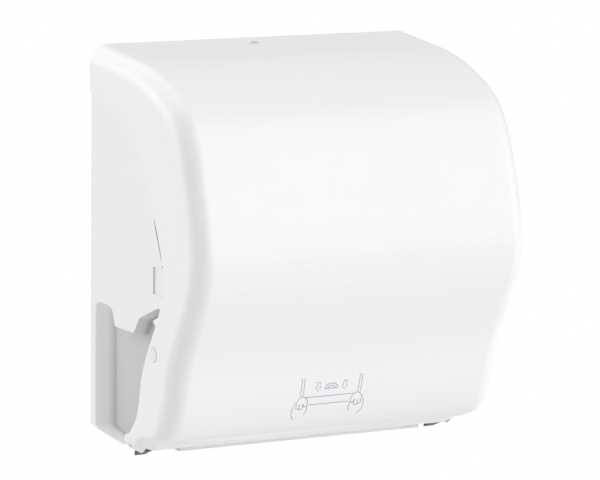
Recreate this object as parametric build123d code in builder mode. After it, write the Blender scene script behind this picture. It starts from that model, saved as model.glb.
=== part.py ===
"""Wall-mounted mechanical roll towel dispenser with a drum that cuts each sheet.

Frame: X to the right, Y back towards the wall (the front is -Y), Z up.  The origin is in the
middle of the four wall screws, on the back face of the housing.  All sizes are in millimetres.
"""
import os
from math import cos, hypot, radians, sin

from build123d import *

os.makedirs("parts", exist_ok=True)

# ------------------------------------------------------------------ casing: driving dimensions
housing_width = 338.0
housing_height = 354.0
back_wall = 3.0
floor_wall = 3.0
cover_wall = 2.5
cover_proud = 2.0            # how far the cover's flange stands outside the housing's side
cover_gap = 1.0              # between the cover and the housing strip that it laps
lap_wall = 2.0               # thickness of that strip
cover_edge_radius = 18.0
wall_gap = 0.5               # the cover's rear edge stays this far off the wall
flange_lap = 12.0
flange_slit = 1.0            # the visible slit behind the flange's rear edge
running_clearance = 0.05
moving_gap = 0.5             # between faces that pass each other
roll_width = 203.0           # of an 8 inch paper roll
side_bay = 61.0              # between the housing's side and the chassis plate beside it

housing_top = housing_height / 2
housing_foot = -housing_height / 2
housing_half = housing_width / 2
cover_half = housing_half + cover_proud
lap_inset = cover_wall + cover_gap
cavity_inset = lap_inset + lap_wall
cavity_half = cover_half - cavity_inset
beyond = 2 * housing_height  # a length that reaches past everything

# Hinge of the cover, in the two feet at its lower rear corners.
hinge_y = -82.0
hinge_drop = 4.0             # below the housing's lower rear edge
hinge_z = housing_foot - hinge_drop
hinge = (hinge_y, hinge_z)
foot_radius = 9.5
foot_clearance = 4.5
foot_width = 9.5             # across the hinge boss, measured in from the cover's side
foot_skin = 2.0              # left outside the blind hinge bore
boss_radius = 13.0
hinge_pin_radius = 3.0

# Side profile of the cover: the corners of the lines that it touches, from the roof down to the
# hinge foot, each with the radius that rounds it.
roof_slope = 0.108
toe = (hinge_y, hinge_z - foot_radius)
profile_corners = [
    ((-108.8, housing_top - 11.8), 229.0),
    ((-181.6, housing_top - 46.6), 125.0),
    ((-222.4, housing_top - 121.0), 158.0),
    ((-219.7, housing_top - 215.0), 196.0),
    ((-134.0, housing_foot - 9.0), 27.0),
    ((-104.8, toe[1]), 195.0),
]


def on_foot(*points):
    """Points of the side view, each given by its depth and its rise above the housing's foot."""
    return [(y, housing_foot + rise) for y, rise in points]


# Rear edge of the cover's side flange, from the wall down to the hinge foot.
flange_edge = [
    (-wall_gap, housing_top - 43.0),
    (-20.0, housing_top - 48.0),
    (-86.0, housing_top - 76.0),
    (-111.0, housing_top - 100.0),
    (-128.6, housing_top - 130.0),
    (-149.0, 4.0),
    (-153.0, -12.0),
    *on_foot((-145.5, 130.0), (-122.3, 90.0), (-107.9, 57.5), (-98.0, 22.0)),
]
instep = (-88.0, housing_foot + 10.0)
outlet_front = -100.0        # rear edge of the cover's bottom panel
chin_rise = 7.0              # height of the outlet's opening in the cover, above the housing's foot
outlet_rear = -67.0          # front edge of the housing's floor
floor_fall = 7.0             # the floor slopes down towards the outlet by this much


# ------------------------------------------------------------------ bodies that the casing is cut from
def cover_block(inset):
    """The cover's rounded outer body, or a body nested inside it by an inset."""
    corners = [corner for corner, bend in profile_corners]
    bends = [bend for corner, bend in profile_corners]
    roof_end = (cover_edge_radius, housing_top + roof_slope * cover_edge_radius)
    with BuildPart() as block:
        with BuildSketch(Plane.YZ.offset(inset - cover_half)):
            with BuildLine():
                FilletPolyline(roof_end, *corners, toe, radius=bends)
                Polyline(toe, (cover_edge_radius, toe[1]), roof_end)
            make_face()
            if inset:
                offset(amount=-inset, mode=Mode.REPLACE)
        extrude(amount=2 * (cover_half - inset))
        side_edges = block.edges().filter_by(
            lambda edge: abs(abs(edge.center().X) - cover_half + inset) < 0.01
            and edge.center().Y < cover_edge_radius / 2
        )
        fillet(side_edges, radius=cover_edge_radius - inset)
    return block.part


cover_outer = cover_block(0)
cover_cavity = cover_block(cover_wall)
lap_body = cover_block(lap_inset)
housing_cavity = cover_block(cavity_inset)

# ------------------------------------------------------------------ front cover
lock_x = -13.0
lock_y = -22.0
lock_radius = 6.0
plug = (-132.5, housing_foot + 87.3)
plug_radius = 6.8
plug_slit = 0.3
boss_inner = cover_half - foot_width
nib = on_foot((-143.0, 123.0), (-131.0, 117.5), (-138.5, 113.0), (-143.0, 115.0))

with BuildPart() as front_cover:
    add(cover_outer)
    add(cover_cavity, mode=Mode.SUBTRACT)
    for side in (-1, 1):
        with BuildSketch(Plane.YZ.offset(side * boss_inner)):
            with Locations(hinge):
                Circle(boss_radius)
        extrude(amount=side * foot_width)
    add(cover_outer, mode=Mode.INTERSECT)
    with BuildSketch(Plane.YZ):
        with BuildLine():
            foot_top = PolarLine(hinge, foot_radius, 75, mode=Mode.PRIVATE) @ 1
            Spline(*flange_edge, instep, foot_top, tangents=[(-1, -0.15), (1, -0.27)])
            ThreePointArc(foot_top, (hinge_y + foot_radius, hinge_z), toe)
            Polyline(
                toe,
                (hinge_y, -beyond),
                (-beyond, -beyond),
                (-beyond, beyond),
                (-wall_gap, beyond),
                flange_edge[0],
            )
        make_face()
    extrude(amount=housing_width, both=True, mode=Mode.INTERSECT)
    for side in (-1, 1):
        with BuildSketch(Plane.YZ.offset(side * (cover_half - cover_wall))):
            with BuildLine():
                Polyline(*nib, close=True)
            make_face()
        extrude(amount=side * cover_wall)
        with BuildSketch(Plane.YZ.offset(side * boss_inner)):
            with Locations(hinge):
                Circle(hinge_pin_radius + running_clearance)
        extrude(amount=side * (foot_width - foot_skin), mode=Mode.SUBTRACT)
    with Locations((0, outlet_front, -beyond / 2)):
        Box(
            2 * boss_inner, beyond, beyond / 2 + housing_foot + chin_rise,
            align=(Align.CENTER, Align.MIN, Align.MIN), mode=Mode.SUBTRACT,
        )
    with Locations(Plane.YZ):
        with Locations(plug):
            Hole(plug_radius + plug_slit)
    with Locations((lock_x, lock_y, housing_top + cover_proud)):
        Hole(lock_radius + running_clearance, depth=2 * lock_radius)
front_cover.part.label = "front_cover"
export_step(front_cover.part, "parts/front_cover.step")

# ------------------------------------------------------------------ rear housing
strip_top = (-100.0, housing_top - 27.0)     # the lapped strip ends here beside the roof window
strip_bend = (-122.0, housing_top - 77.0)
strip_front = [(y - flange_lap, z) for y, z in flange_edge[4:]]
strip_toe = (-104.0, housing_foot + 5.0)
floor_front = (outlet_rear, housing_foot - floor_fall)
ledge_rise = 12.0            # of the step between the flush side and the lapped strip
ledge_z = flange_edge[7][1] + ledge_rise
side_front_y = flange_edge[4][0] + flange_slit
window_half = housing_half - 21.0
window_rear = -9.0
window_sill = housing_top - 27.0
pocket_depth = 13.0
pocket_wall = 2.5
pocket_corner = 6.0
pocket_draft = 12.0
pocket = on_foot(
    (-28.0, 115.0), (-42.0, 115.0), (-48.0, 97.0), (-90.0, 97.0), (-102.0, 113.0), (-137.0, 127.0),
    (-190.0, 127.0), (-190.0, -16.0), (-68.0, -3.0), (-28.0, 1.1),
)
wall_screw_x = 90.0
wall_screw_z = 110.0
wall_screw_radius = 3.0
screw_pad_radius = 9.0
screw_pad_height = 2.0

plate_thickness = 3.0
plate_inner = housing_half - side_bay
plate_outer = plate_inner + plate_thickness
tab_y = -back_wall - plate_thickness
plate_screw_x = plate_inner + 11.0
plate_screw_z = (housing_foot + 127.0, housing_foot + 37.0)
hub_flange = 2.0
roll_play = 0.5              # between the paper roll and each hub's flange
arm_inner = roll_width / 2 + roll_play + hub_flange + moving_gap
arm_screw_x = arm_inner + 23.5
roll_z = housing_top - 113.0
arm_screw_rise = 20.0
frame_screws_at = [
    (side * x, z)
    for side in (-1, 1)
    for x, z in (
        (plate_screw_x, plate_screw_z[0]),
        (plate_screw_x, plate_screw_z[1]),
        (arm_screw_x, roll_z - arm_screw_rise),
        (arm_screw_x, roll_z + arm_screw_rise),
    )
]
frame_screw_radius = 2.0
frame_screw_head = 4.0
frame_screw_head_height = 2.2
frame_screw_depth = 2.4      # how far it bites into the back wall
screw_bevel = 0.9

def floor_at(y):
    """Height of the housing floor's upper surface at a depth."""
    return housing_foot + floor_wall - floor_fall * y / outlet_rear


with BuildPart() as strip_body:
    with BuildSketch(Plane.YZ):
        with BuildLine():
            Polyline((0, housing_foot), (0, beyond), (strip_top[0], beyond), strip_top)
            Spline(strip_top, strip_bend, *strip_front)
            Polyline(strip_front[-1], strip_toe, floor_front, (0, housing_foot))
        make_face()
    extrude(amount=housing_width, both=True)

with BuildPart() as housing_well:
    add(housing_cavity)
    with BuildSketch(Plane.YZ):
        with BuildLine():
            Polyline(
                (-back_wall, beyond),
                (-back_wall, floor_at(-back_wall)),
                (outlet_rear, floor_at(outlet_rear)),
                (outlet_rear, -beyond),
                (-beyond, -beyond),
                (-beyond, beyond),
                close=True,
            )
        make_face()
    extrude(amount=housing_width, both=True, mode=Mode.INTERSECT)

with BuildPart() as pocket_shell:
    for side in (-1, 1):
        with BuildSketch(Plane.YZ.offset(side * (housing_half - pocket_depth - pocket_wall))):
            with BuildLine():
                Polyline(*pocket, close=True)
            make_face()
            offset(amount=pocket_wall)
        extrude(amount=side * (pocket_depth + pocket_wall))
    add(lap_body, mode=Mode.INTERSECT)
    add(strip_body.part, mode=Mode.INTERSECT)

with BuildPart() as rear_housing:
    add(lap_body)
    add(strip_body.part, mode=Mode.INTERSECT)
    with BuildSketch(Plane.YZ):
        with BuildLine():
            upper = [(0.0, flange_edge[0][1] - flange_slit)]
            upper += [(y + flange_slit, z - flange_slit) for y, z in flange_edge[1:5]]
            lower = [(y + flange_slit, z) for y, z in flange_edge[7:]]
            Spline(*upper)
            Polyline(upper[-1], (side_front_y, ledge_z), (lower[0][0] - 3.0, ledge_z - flange_slit), lower[0])
            Spline(*lower)
            Polyline(lower[-1], floor_front, (0, housing_foot), upper[0])
        make_face()
    extrude(amount=housing_half, both=True)
    add(housing_well.part, mode=Mode.SUBTRACT)
    with Locations((0, window_rear, window_sill)):
        Box(
            2 * window_half, beyond, beyond,
            align=(Align.CENTER, Align.MAX, Align.MIN), mode=Mode.SUBTRACT,
        )
    add(pocket_shell.part)
    for side in (-1, 1):
        with BuildSketch(Plane.YZ.offset(side * (housing_half - pocket_depth))) as recess:
            with BuildLine():
                Polyline(*pocket, close=True)
            make_face()
            fillet(recess.vertices(), radius=pocket_corner)
        extrude(amount=side * (pocket_depth + cover_proud), taper=-pocket_draft, mode=Mode.SUBTRACT)
    with BuildSketch(Plane.YZ):
        with Locations(hinge):
            Circle(foot_radius + foot_clearance)
    extrude(amount=housing_width, both=True, mode=Mode.SUBTRACT)
    with Locations(Plane.XZ.offset(back_wall)):
        with GridLocations(2 * wall_screw_x, 2 * wall_screw_z, 2, 2):
            Cylinder(
                screw_pad_radius, screw_pad_height, align=(Align.CENTER, Align.CENTER, Align.MIN)
            )
            Hole(wall_screw_radius)
        with Locations(*frame_screws_at):
            Hole(frame_screw_radius, depth=frame_screw_depth)
rear_housing.part.label = "rear_housing"
export_step(rear_housing.part, "parts/rear_housing.step")

# ------------------------------------------------------------------ hinge of the cover
eye_radius = 8.0
eye_inner = boss_inner - 13.5
eye_outer = boss_inner - 1.5
bracket_arm_inner = eye_inner - 5.0
bracket_arm_outer = eye_inner + 4.5
bracket_drop = 3.0           # the arm's front end reaches this far below the hinge axis
lug_half = 7.0
lug_foot = hinge_z - 12.5
bracket_rear = -44.0


def hinge_bracket(side):
    """Dark bracket standing on the housing's floor, with the eye that carries a hinge pin."""
    with BuildPart() as bracket:
        with BuildSketch(Plane.YZ.offset(side * eye_inner)):
            with Locations(hinge):
                Circle(eye_radius)
            with BuildLine():
                Polyline(
                    (hinge_y - lug_half, hinge_z),
                    (hinge_y - lug_half, lug_foot),
                    (hinge_y + lug_half, lug_foot),
                    (hinge_y + lug_half, hinge_z),
                    close=True,
                )
            make_face()
        extrude(amount=side * (eye_outer - eye_inner))
        with BuildSketch(Plane.YZ.offset(side * bracket_arm_inner)):
            with BuildLine():
                Polyline(
                    (bracket_rear, floor_at(bracket_rear)),
                    (outlet_rear, floor_at(outlet_rear)),
                    (hinge_y + lug_half, hinge_z - bracket_drop),
                    (hinge_y, hinge_z + eye_radius),
                    (outlet_rear, hinge_z + eye_radius + 4.0),
                    (bracket_rear, hinge_z + eye_radius + 2.0),
                    close=True,
                )
            make_face()
        extrude(amount=side * (bracket_arm_outer - bracket_arm_inner))
        with BuildSketch(Plane.YZ.offset(side * bracket_arm_inner)):
            with Locations(hinge):
                Circle(hinge_pin_radius)
        extrude(amount=side * (eye_outer - bracket_arm_inner), mode=Mode.SUBTRACT)
    return bracket.part


hinge_bracket_left = hinge_bracket(-1)
hinge_bracket_left.label = "hinge_bracket_left"
export_step(hinge_bracket_left, "parts/hinge_bracket_left.step")
hinge_bracket_right = hinge_bracket(1)
hinge_bracket_right.label = "hinge_bracket_right"
export_step(hinge_bracket_right, "parts/hinge_bracket_right.step")

with BuildPart() as hinge_pins:
    for side in (-1, 1):
        with BuildSketch(Plane.YZ.offset(side * eye_inner)):
            with Locations(hinge):
                Circle(hinge_pin_radius)
        extrude(amount=side * (cover_half - foot_skin - moving_gap - eye_inner))
hinge_pins.part.label = "hinge_pins"
export_step(hinge_pins.part, "parts/hinge_pins.step")

# ------------------------------------------------------------------ chassis
drum_axis = (-112.0, housing_foot + 69.0)
pinch_pivot = (-36.0, housing_foot + 111.0)
tie_at = (-146.0, housing_foot + 105.0)
spring_anchor_at = (-66.0, housing_foot + 148.7)
bush_radius = 8.0
pivot_radius = 3.0
tie_radius = 3.0
anchor_radius = 3.0
tab_width = 18.0
plate_outline = on_foot(
    (-back_wall, 9.0), (-back_wall, 167.0), (-60.0, 167.0), (-82.0, 137.0), (-152.0, 119.0),
    (-162.0, 92.0), (-156.0, 37.0), (-140.0, 19.0), (-100.0, 9.0),
)
plate_corner = 8.0
tab_top = housing_foot + 147.0
tab_foot = housing_foot + 17.0


def chassis_plate(side):
    """Side plate of the cutting mechanism, with a tab that is screwed to the back wall."""
    with BuildPart() as plate:
        with BuildSketch(Plane.YZ.offset(side * plate_inner)) as outline:
            with BuildLine():
                Polyline(*plate_outline, close=True)
            make_face()
            fillet(outline.vertices().sort_by(Axis.X)[:-2], radius=plate_corner)
            with Locations(drum_axis):
                Circle(bush_radius, mode=Mode.SUBTRACT)
            with Locations(pinch_pivot):
                Circle(pivot_radius, mode=Mode.SUBTRACT)
            with Locations(tie_at):
                Circle(tie_radius, mode=Mode.SUBTRACT)
            if side < 0:
                with Locations(spring_anchor_at):
                    Circle(anchor_radius, mode=Mode.SUBTRACT)
        extrude(amount=side * plate_thickness)
        with Locations((side * plate_inner, -back_wall, tab_foot)):
            Box(
                tab_width, plate_thickness, tab_top - tab_foot,
                align=(Align.MIN if side > 0 else Align.MAX, Align.MAX, Align.MIN),
            )
        with Locations(Plane.XZ.offset(back_wall + plate_thickness)):
            with Locations(*[at for at in frame_screws_at if at[0] * side > 0 and at[1] < 0]):
                Hole(frame_screw_radius, depth=2 * plate_thickness)
    return plate.part


chassis_left = chassis_plate(-1)
chassis_left.label = "chassis_left"
export_step(chassis_left, "parts/chassis_left.step")
chassis_right = chassis_plate(1)
chassis_right.label = "chassis_right"
export_step(chassis_right, "parts/chassis_right.step")

with BuildPart() as frame_screws:
    with Locations(Plane.XZ.offset(back_wall + plate_thickness)):
        with Locations(*frame_screws_at):
            Cylinder(
                frame_screw_head, frame_screw_head_height, align=(Align.CENTER, Align.CENTER, Align.MIN)
            )
            Cylinder(
                frame_screw_radius, plate_thickness + frame_screw_depth,
                align=(Align.CENTER, Align.CENTER, Align.MAX),
            )
    chamfer(frame_screws.edges().filter_by(GeomType.CIRCLE).group_by(Axis.Y)[0], length=screw_bevel)
frame_screws.part.label = "frame_screws"
export_step(frame_screws.part, "parts/frame_screws.step")


rod_bevel = 0.4
tie_end = 2.0                # how far the tie stands out of each plate


def cross_rod(at, radius, half_length):
    """Round bar across the machine, centred on it."""
    with BuildPart() as rod:
        with BuildSketch(Plane.YZ.offset(-half_length)):
            with Locations(at):
                Circle(radius)
        extrude(amount=2 * half_length)
        chamfer(rod.edges().filter_by(GeomType.CIRCLE), length=rod_bevel)
    return rod.part


front_tie = cross_rod(tie_at, tie_radius, plate_outer + tie_end)
front_tie.label = "front_tie"
export_step(front_tie, "parts/front_tie.step")


def bored_rod(at, radius, bore, start, end):
    """Round piece along X between two depths, with an optional bore."""
    with BuildPart() as piece:
        with BuildSketch(Plane.YZ.offset(start)):
            with Locations(at):
                Circle(radius)
                if bore:
                    Circle(bore, mode=Mode.SUBTRACT)
        extrude(amount=end - start)
    return piece.part


axle_radius = 4.0
axle_bore = axle_radius + running_clearance
bush_flange_radius = 11.0
bush_flange = 2.0
bush_outer = plate_outer + bush_flange
with BuildPart() as drum_bushes:
    for side in (-1, 1):
        add(bored_rod(drum_axis, bush_radius, axle_bore, side * plate_inner, side * plate_outer))
        add(bored_rod(drum_axis, bush_flange_radius, axle_bore, side * plate_outer, side * bush_outer))
drum_bushes.part.label = "drum_bushes"
export_step(drum_bushes.part, "parts/drum_bushes.step")

pinch_plate_inner = plate_inner - 12.0
pivot_end = 1.0              # how far each pivot pin stands out of its plates
with BuildPart() as pinch_pivots:
    for side in (-1, 1):
        pin_ends = (side * (pinch_plate_inner - pivot_end), side * (plate_outer + pivot_end))
        add(bored_rod(pinch_pivot, pivot_radius, 0, *pin_ends))
pinch_pivots.part.label = "pinch_pivots"
export_step(pinch_pivots.part, "parts/pinch_pivots.step")

# ------------------------------------------------------------------ knife cam and one-way clutch
cam_radius = 40.0
cam_height = 4.5
cam_floor = 1.0
cam_hole = 12.5
track_inner = 19.5
track_outer = 33.0
with BuildPart() as knife_cam:
    with BuildSketch(Plane.YZ.offset(-plate_inner)):
        with Locations(drum_axis):
            Circle(cam_radius)
            Circle(cam_hole, mode=Mode.SUBTRACT)
    extrude(amount=cam_height)
    with BuildSketch(Plane.YZ.offset(cam_floor - plate_inner)):
        with Locations(drum_axis):
            Circle(track_outer)
            Circle(track_inner, mode=Mode.SUBTRACT)
    extrude(amount=cam_height, mode=Mode.SUBTRACT)
knife_cam.part.label = "knife_cam"
export_step(knife_cam.part, "parts/knife_cam.step")

clutch_radius = 13.0
clutch_end = bush_outer + 8.0
clutch_rim = 2.0
clutch_seal = (3.0, 1.5)     # width beside the axle, and depth, of the recess in its end
clutch_key = (6.0, 4.0)
with BuildPart() as one_way_clutch:
    add(bored_rod(drum_axis, clutch_radius, axle_bore, bush_outer, clutch_end))
    with BuildSketch(Plane.YZ.offset(clutch_end)):
        with Locations(drum_axis):
            Circle(clutch_radius - clutch_rim)
            Circle(axle_radius + clutch_seal[0], mode=Mode.SUBTRACT)
    extrude(amount=-clutch_seal[1], mode=Mode.SUBTRACT)
    with BuildSketch(Plane.YZ.offset(bush_outer)):
        with Locations((drum_axis[0], drum_axis[1] + clutch_radius)):
            Rectangle(*clutch_key)
    extrude(amount=clutch_end - bush_outer)
one_way_clutch.part.label = "one_way_clutch"
export_step(one_way_clutch.part, "parts/one_way_clutch.step")

# ------------------------------------------------------------------ paper guides
guide_thickness = 2.0
rear_guide_line = on_foot((-52.0, 72.0), (-58.0, 47.0), (-72.0, 12.0), (-76.0, -6.0))
rear_guide_bend = 12.0
chute_line = on_foot((-150.0, 31.0), (-134.0, 15.0), (-106.0, 3.0), (-96.0, -9.0))
chute_bend = 6.0
lip_half = plate_outer + 15.6
lip_foot = housing_foot - 11.5
lip_top = housing_foot - 7.5
lip_front = outlet_front + 1.5
lip_rear = outlet_front + 10.0


def paper_guide(points, bend):
    """Bent sheet across the chassis that leads the paper."""
    with BuildPart() as guide:
        with BuildSketch(Plane.YZ.offset(-plate_inner)):
            with BuildLine():
                FilletPolyline(*points, radius=bend)
                offset(amount=guide_thickness, side=Side.RIGHT)
            make_face()
        extrude(amount=2 * plate_inner)
    return guide.part


rear_guide = paper_guide(rear_guide_line, rear_guide_bend)
rear_guide.label = "rear_guide"
export_step(rear_guide, "parts/rear_guide.step")

with BuildPart() as outlet_chute:
    add(paper_guide(chute_line, chute_bend))
    with BuildSketch(Plane.XY.offset(lip_foot)):
        with Locations((0, (lip_front + lip_rear) / 2)):
            Rectangle(2 * lip_half, lip_rear - lip_front)
    extrude(amount=lip_top - lip_foot)
outlet_chute.part.label = "outlet_chute"
export_step(outlet_chute.part, "parts/outlet_chute.step")

# ------------------------------------------------------------------ paper roll holder
roll_y = -100.0
roll_at = (roll_y, roll_z)
arm_thickness = 4.0
arm_outer = arm_inner + arm_thickness
arm_half = 14.0
base_end = arm_screw_x + 10.0
base_half = 27.0
arm_pivot = (arm_inner + 7.5, -13.0)
knuckle_radius = 6.0
knuckle_half = 14.5
pin_radius = 2.5
lug_thickness = 3.0
stub_end = arm_inner - 10.5


def roll_arm(side, root_y):
    """Arm that carries a roll hub on its stub axle."""
    with BuildPart() as arm:
        with BuildSketch(Plane.YZ.offset(side * arm_inner)):
            with Locations(roll_at):
                Circle(arm_half)
            with Locations(((roll_y + root_y) / 2, roll_z)):
                Rectangle(root_y - roll_y, 2 * arm_half)
            with Locations(((roll_y + root_y) / 2, roll_z)):
                SlotOverall((root_y - roll_y) / 2, arm_half / 2, mode=Mode.SUBTRACT)
        extrude(amount=side * arm_thickness)
        add(bored_rod(roll_at, axle_radius, 0, side * stub_end, side * arm_inner))
    return arm.part


with BuildPart() as roll_arm_left:
    add(roll_arm(-1, tab_y))
    with BuildSketch(Plane.XZ.offset(back_wall)):
        with Locations((-(arm_inner + base_end) / 2, roll_z)):
            Rectangle(base_end - arm_inner, 2 * base_half)
    extrude(amount=plate_thickness)
    with Locations(Plane.XZ.offset(back_wall + plate_thickness)):
        with Locations(*[at for at in frame_screws_at if at[0] < 0 < at[1]]):
            Hole(frame_screw_radius, depth=2 * plate_thickness)
roll_arm_left.part.label = "roll_arm_left"
export_step(roll_arm_left.part, "parts/roll_arm_left.step")

with BuildPart() as roll_arm_bracket:
    with BuildSketch(Plane.XZ.offset(back_wall)):
        with Locations(((arm_inner + base_end) / 2, roll_z)):
            Rectangle(base_end - arm_inner, 2 * base_half)
    extrude(amount=plate_thickness)
    for lug_z in (roll_z - knuckle_half - moving_gap - lug_thickness, roll_z + knuckle_half + moving_gap):
        with BuildSketch(Plane.XY.offset(lug_z)):
            with Locations(arm_pivot):
                Circle(knuckle_radius)
            with Locations((arm_pivot[0], (arm_pivot[1] + tab_y) / 2)):
                Rectangle(2 * knuckle_radius, tab_y - arm_pivot[1])
            with Locations(arm_pivot):
                Circle(pin_radius, mode=Mode.SUBTRACT)
        extrude(amount=lug_thickness)
    with Locations(Plane.XZ.offset(back_wall + plate_thickness)):
        with Locations(*[at for at in frame_screws_at if at[0] > 0 and at[1] > 0]):
            Hole(frame_screw_radius, depth=2 * plate_thickness)
roll_arm_bracket.part.label = "roll_arm_bracket"
export_step(roll_arm_bracket.part, "parts/roll_arm_bracket.step")

pin_half = knuckle_half + moving_gap + lug_thickness + pivot_end
with BuildPart() as roll_arm_pin:
    with BuildSketch(Plane.XY.offset(roll_z - pin_half)):
        with Locations(arm_pivot):
            Circle(pin_radius)
    extrude(amount=2 * pin_half)
roll_arm_pin.part.label = "roll_arm_pin"
export_step(roll_arm_pin.part, "parts/roll_arm_pin.step")

with BuildPart() as roll_arm_right:
    add(roll_arm(1, arm_pivot[1] - knuckle_radius))
    with BuildSketch(Plane.XY.offset(roll_z - knuckle_half)):
        with Locations(arm_pivot):
            Circle(knuckle_radius)
        with Locations(((arm_inner + arm_outer) / 2, arm_pivot[1] - knuckle_radius)):
            Rectangle(arm_thickness, knuckle_radius * 2, align=(Align.CENTER, Align.MIN))
        with Locations(arm_pivot):
            Circle(pin_radius + running_clearance, mode=Mode.SUBTRACT)
    extrude(amount=2 * knuckle_half)
roll_arm_right.part.label = "roll_arm_right"
export_step(roll_arm_right.part, "parts/roll_arm_right.step")

hub_flange_radius = 24.0
hub_radius = 18.5
hub_bevel = 2.0
hub_wall = 0.5               # closes the bore at the hub's inner end
hub_inner = stub_end - 1.0
hub_outer = arm_inner - moving_gap


def roll_hub(side):
    """Flanged plug that the paper roll's core slips over; it turns on a stub axle."""
    with BuildPart() as hub:
        with BuildSketch(Plane.XZ):
            with BuildLine():
                Polyline(
                    (hub_inner, 0),
                    (hub_inner, hub_radius - hub_bevel),
                    (hub_inner + hub_bevel, hub_radius),
                    (hub_outer - hub_flange, hub_radius),
                    (hub_outer - hub_flange, hub_flange_radius),
                    (hub_outer, hub_flange_radius),
                    (hub_outer, 0),
                    close=True,
                )
            make_face()
        revolve(axis=Axis.X)
        with Locations(Plane.YZ.offset(hub_outer)):
            Hole(axle_bore, depth=hub_outer - hub_inner - hub_wall)
    turned = hub.part if side > 0 else hub.part.rotate(Axis.Z, 180)
    return turned.translate((0, roll_y, roll_z))


hub_left = roll_hub(-1)
hub_left.label = "hub_left"
export_step(hub_left, "parts/hub_left.step")
hub_right = roll_hub(1)
hub_right.label = "hub_right"
export_step(hub_right, "parts/hub_right.step")

# ------------------------------------------------------------------ drum
drum_radius = 37.0
drum_wall = 2.5
drum_half = plate_inner - 10.0
cap_thickness = 3.0
cap_outer = drum_half + cap_thickness
slot_rear = 15.0             # edges of the knife's slot, measured across from the drum's axis
slot_front = -6.0
grip_radius = 38.0
grip_width = 8.0
grip_seat = 36.0
outer_grip = drum_half - 26.0
inner_grip = 28.0
grip_at = (-outer_grip, -inner_grip, inner_grip, outer_grip)

crank_inner = -bush_outer - 1.5
crank_outer = crank_inner - 3.5
crank_pin_end = crank_outer - 10.0
knob_inner = clutch_end + 2.0
knob_outer = knob_inner + 18.0
axle_left = crank_outer - 2.0
axle_right = knob_outer - 5.0

knife_pivot = (drum_axis[0] + 24.0, drum_axis[1] - 10.0)
knife_angle = -139.6         # direction of the blade at rest, seen along the axle
knife_swing = 22.0
knife_reach = 35.5
knife_pin_radius = 2.5
knife_pin_end = cap_outer + 2.0
knife_pin_bore = knife_pin_radius + running_clearance
follower_reach = 14.0
follower_end = plate_inner - cam_floor - 1.0
blade_way = (cos(radians(knife_angle)), sin(radians(knife_angle)))
follower_at = (
    knife_pivot[0] + follower_reach * blade_way[0],
    knife_pivot[1] + follower_reach * blade_way[1],
)
carrier_half = drum_half - 2.0
carrier_eye = 4.5
carrier_thickness = 3.0
carrier_reach = 18.0
blade_thickness = 1.0
blade_root = 12.0
blade_half = carrier_half - 1.0
tooth_depth = 2.5
tooth_count = 20


def drum_ring(outer, inner, start, end):
    """Ring about the drum's axis, open where the knife comes out."""
    with BuildPart() as ring:
        with BuildSketch(Plane.YZ.offset(start)):
            with Locations(drum_axis):
                Circle(outer)
                Circle(inner, mode=Mode.SUBTRACT)
            with Locations((drum_axis[0] + (slot_rear + slot_front) / 2, drum_axis[1])):
                Rectangle(
                    slot_rear - slot_front, 2 * outer, align=(Align.CENTER, Align.MAX), mode=Mode.SUBTRACT
                )
        extrude(amount=end - start)
    return ring.part


with BuildPart() as drum_shell:
    add(drum_ring(drum_radius, drum_radius - drum_wall, -drum_half, drum_half))
    for grip_x in grip_at:
        with BuildSketch(Plane.YZ.offset(grip_x - grip_width / 2)):
            with Locations(drum_axis):
                Circle(grip_radius)
                Circle(grip_seat, mode=Mode.SUBTRACT)
        extrude(amount=grip_width, mode=Mode.SUBTRACT)
drum_shell.part.label = "drum_shell"
export_step(drum_shell.part, "parts/drum_shell.step")

with BuildPart() as grip_rings:
    for grip_x in grip_at:
        add(drum_ring(grip_radius, grip_seat, grip_x - grip_width / 2, grip_x + grip_width / 2))
grip_rings.part.label = "grip_rings"
export_step(grip_rings.part, "parts/grip_rings.step")


def drum_cap(side):
    """End cap of the drum, bored for the axle and the knife's pivot."""
    with BuildPart() as cap:
        with BuildSketch(Plane.YZ.offset(side * drum_half)):
            with Locations(drum_axis):
                Circle(drum_radius)
                Circle(axle_radius, mode=Mode.SUBTRACT)
            with Locations(knife_pivot):
                Circle(knife_pin_bore, mode=Mode.SUBTRACT)
            if side < 0:
                with BuildLine(mode=Mode.PRIVATE):
                    travel = CenterArc(knife_pivot, follower_reach, knife_angle, knife_swing)
                SlotArc(travel, 2 * knife_pin_radius + moving_gap, mode=Mode.SUBTRACT)
        extrude(amount=side * cap_thickness)
    return cap.part


drum_cap_left = drum_cap(-1)
drum_cap_left.label = "drum_cap_left"
export_step(drum_cap_left, "parts/drum_cap_left.step")
drum_cap_right = drum_cap(1)
drum_cap_right.label = "drum_cap_right"
export_step(drum_cap_right, "parts/drum_cap_right.step")

drum_axle = bored_rod(drum_axis, axle_radius, 0, axle_left, axle_right)
drum_axle.label = "drum_axle"
export_step(drum_axle, "parts/drum_axle.step")

crank_reach = 20.0
crank_angle = 60.0
crank_pin_at = (
    drum_axis[0] + crank_reach * cos(radians(crank_angle)),
    drum_axis[1] + crank_reach * sin(radians(crank_angle)),
)
crank_radius = 26.0
crank_pin_radius = 2.5
crank_hole_radius = 4.5
crank_hole_reach = 16.0
with BuildPart() as crank_disc:
    with BuildSketch(Plane.YZ.offset(crank_inner)):
        with Locations(drum_axis):
            Circle(crank_radius)
            Circle(axle_radius, mode=Mode.SUBTRACT)
        with Locations(crank_pin_at):
            Circle(crank_pin_radius, mode=Mode.SUBTRACT)
        with Locations(drum_axis):
            with PolarLocations(crank_hole_reach, 3, start_angle=crank_angle + 90, angular_range=270):
                Circle(crank_hole_radius, mode=Mode.SUBTRACT)
    extrude(amount=crank_outer - crank_inner)
crank_disc.part.label = "crank_disc"
export_step(crank_disc.part, "parts/crank_disc.step")

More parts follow.
